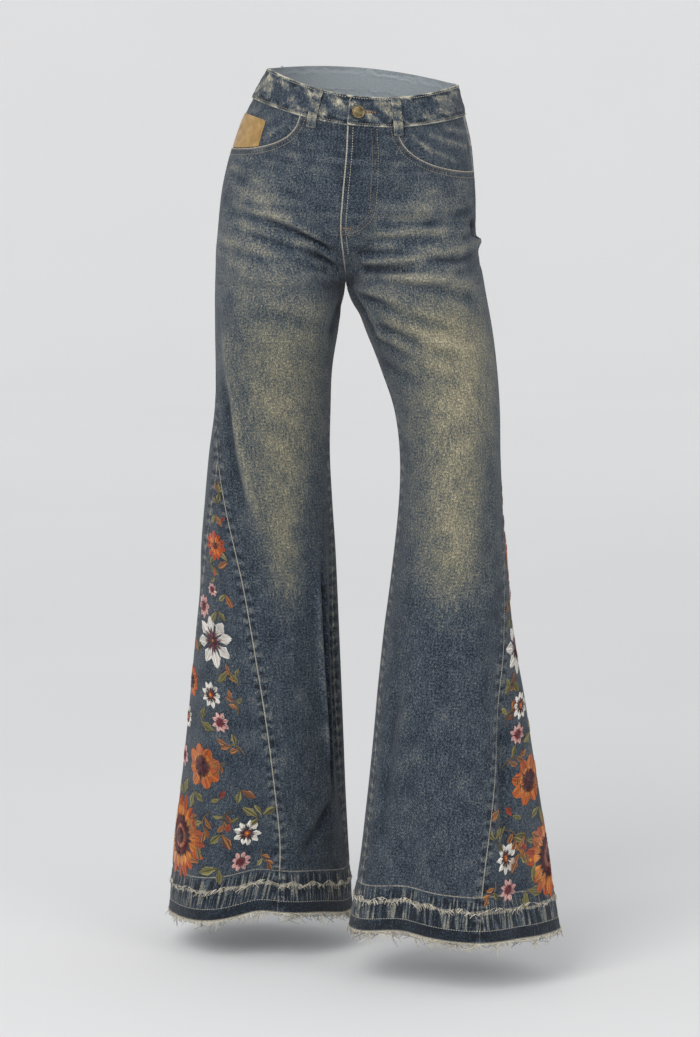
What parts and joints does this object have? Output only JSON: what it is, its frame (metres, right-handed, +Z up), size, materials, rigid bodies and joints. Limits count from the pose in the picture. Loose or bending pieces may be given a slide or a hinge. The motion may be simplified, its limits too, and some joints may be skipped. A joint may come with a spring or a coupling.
{
  "type": "flared jeans",
  "caption": "Hollow worn denim flared jeans with godets let into the outer seams, curved front pockets, a shank button and raw frayed hems.",
  "frame": {"origin": "middle of the waistband, half way up it, where the wearer's waist holds the jeans", "axes": "+Z up, -Y towards the front of the jeans, +X towards the wearer's left"},
  "size_m": [0.5184, 0.4003, 1.1431],
  "materials": {
    "denim": "faded mid blue denim with a vertical slub",
    "godet_denim": "slate blue denim with embroidered flowers",
    "inner_denim": "darker unfaded denim of the pocket facings",
    "suede": "tan suede, bare",
    "brass": "antique brass",
    "thread": "cream frayed cotton threads"
  },
  "bodies": {
    "root": {"waistband": "denim", "right_front": "denim", "right_back": "denim", "right_yoke": "denim", "right_godet": "godet_denim", "right_pocket_facing": "inner_denim", "right_back_pocket": "denim", "right_hem_fray": "thread", "left_front": "denim", "left_back": "denim", "left_yoke": "denim", "left_godet": "godet_denim", "left_pocket_facing": "inner_denim", "left_back_pocket": "denim", "left_hem_fray": "thread", "right_coin_pocket": "suede", "right_front_loop": "denim", "left_front_loop": "denim", "right_side_loop": "denim", "left_side_loop": "denim", "centre_back_loop": "denim", "waist_button": "brass"}
  },
  "joints": []
}
